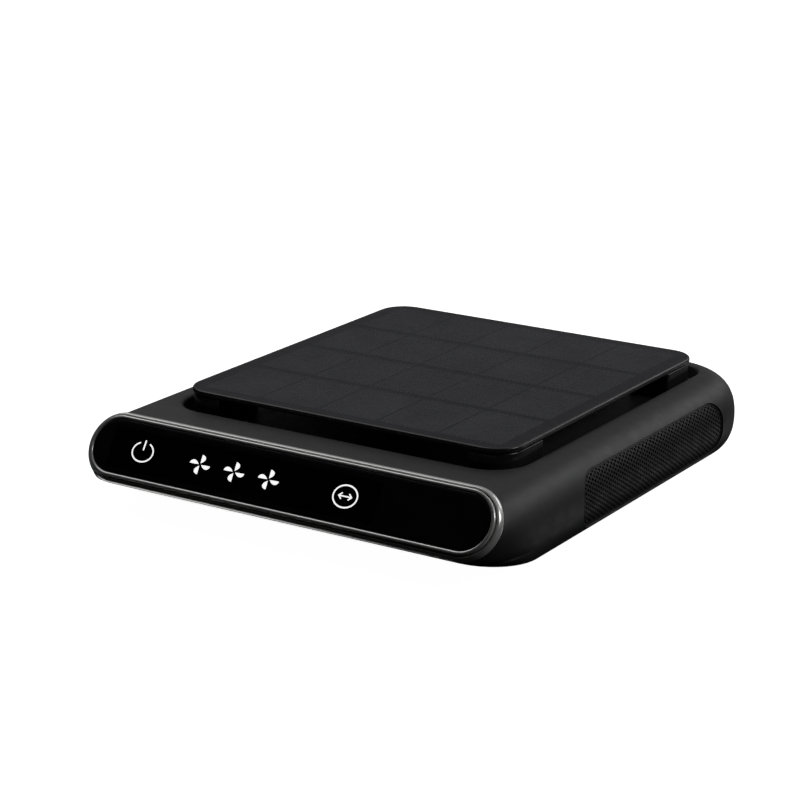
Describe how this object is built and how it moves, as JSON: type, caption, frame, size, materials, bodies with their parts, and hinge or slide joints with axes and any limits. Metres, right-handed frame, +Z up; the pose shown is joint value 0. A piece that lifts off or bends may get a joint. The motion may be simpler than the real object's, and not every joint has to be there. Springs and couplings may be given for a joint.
{
  "type": "solar car air purifier",
  "caption": "Low round-sided air purifier with a leaning touch display, a raised solar panel over its air outlet and a pull-out filter door on each side.",
  "frame": {"origin": "on the ground under the middle of the whole object", "axes": "+X to the right seen from the display, +Y from the display to the back, +Z up"},
  "size_m": [0.225, 0.2558, 0.0483],
  "materials": {
    "case_plastic": "fine matt texture",
    "chrome_trim": "polished",
    "display_glass": "gloss black",
    "guide_plastic": "translucent white",
    "circuit_board": "green solder mask",
    "tray_plastic": "satin",
    "solar_cells": "dark blue black cells under a satin film",
    "post_plastic": "satin",
    "screw_steel": "zinc plated",
    "grille_plastic": "matt",
    "emitter_steel": "plain",
    "filter_plastic": "matt black",
    "filter_paper": "pleated paper with a charcoal layer",
    "inner_plastic": "moulded",
    "impeller_plastic": "moulded",
    "bearing_brass": "sintered",
    "shaft_steel": "ground",
    "copper_winding": "lacquered winding on a steel core",
    "magnet_ferrite": "sintered",
    "cell_wrap": "shrink sleeve over a steel can",
    "sensor_can": "satin",
    "potted_box": "potted",
    "rubber": "matt"
  },
  "bodies": {
    "base": {"top_case": "case_plastic", "bottom_case": "case_plastic", "display_bezel": "chrome_trim", "display_trim": "chrome_trim", "touch_glass": "display_glass", "light_guide": "guide_plastic", "display_board": "circuit_board", "main_board": "circuit_board", "charge_board": "circuit_board", "solar_tray": "tray_plastic", "solar_laminate": "solar_cells", "panel_post_front_right": "post_plastic", "panel_post_front_left": "post_plastic", "panel_post_rear_right": "post_plastic", "panel_post_rear_left": "post_plastic", "case_screw_front_right": "screw_steel", "case_screw_front_left": "screw_steel", "case_screw_rear_right": "screw_steel", "case_screw_rear_left": "screw_steel", "post_screw_front_right": "screw_steel", "post_screw_front_left": "screw_steel", "post_screw_rear_right": "screw_steel", "post_screw_rear_left": "screw_steel", "outlet_grille": "grille_plastic", "ion_emitter": "emitter_steel", "usb_socket": "emitter_steel", "filter_bay_right": "inner_plastic", "filter_bay_left": "inner_plastic", "blower_housing": "inner_plastic", "battery_holder": "inner_plastic", "bearing_lower": "bearing_brass", "bearing_upper": "bearing_brass", "motor_stator": "copper_winding", "battery_cell_1": "cell_wrap", "battery_cell_2": "cell_wrap", "air_sensor": "sensor_can", "ion_generator": "potted_box", "foot_front_right": "rubber", "foot_front_left": "rubber", "foot_rear_right": "rubber", "foot_rear_left": "rubber"},
    "blower_rotor": {"impeller": "impeller_plastic", "motor_magnet": "magnet_ferrite", "motor_shaft": "shaft_steel"},
    "filter_unit_right": {"filter_door_right": "case_plastic", "filter_frame_right": "filter_plastic", "filter_media_right": "filter_paper"},
    "filter_unit_left": {"filter_door_left": "case_plastic", "filter_frame_left": "filter_plastic", "filter_media_left": "filter_paper"}
  },
  "joints": [
    {"name": "blower_spin", "type": "hinge", "parent": "base", "child": "blower_rotor", "pos_m": [0, 0.01613, 0.02], "axis": [0, 0, 1], "continuous": true},
    {"name": "filter_slide_right", "type": "slide", "parent": "base", "child": "filter_unit_right", "axis": [1, 0, 0], "range_m": [0, 0.04]},
    {"name": "filter_slide_left", "type": "slide", "parent": "base", "child": "filter_unit_left", "axis": [-1, 0, 0], "range_m": [0, 0.04]}
  ]
}
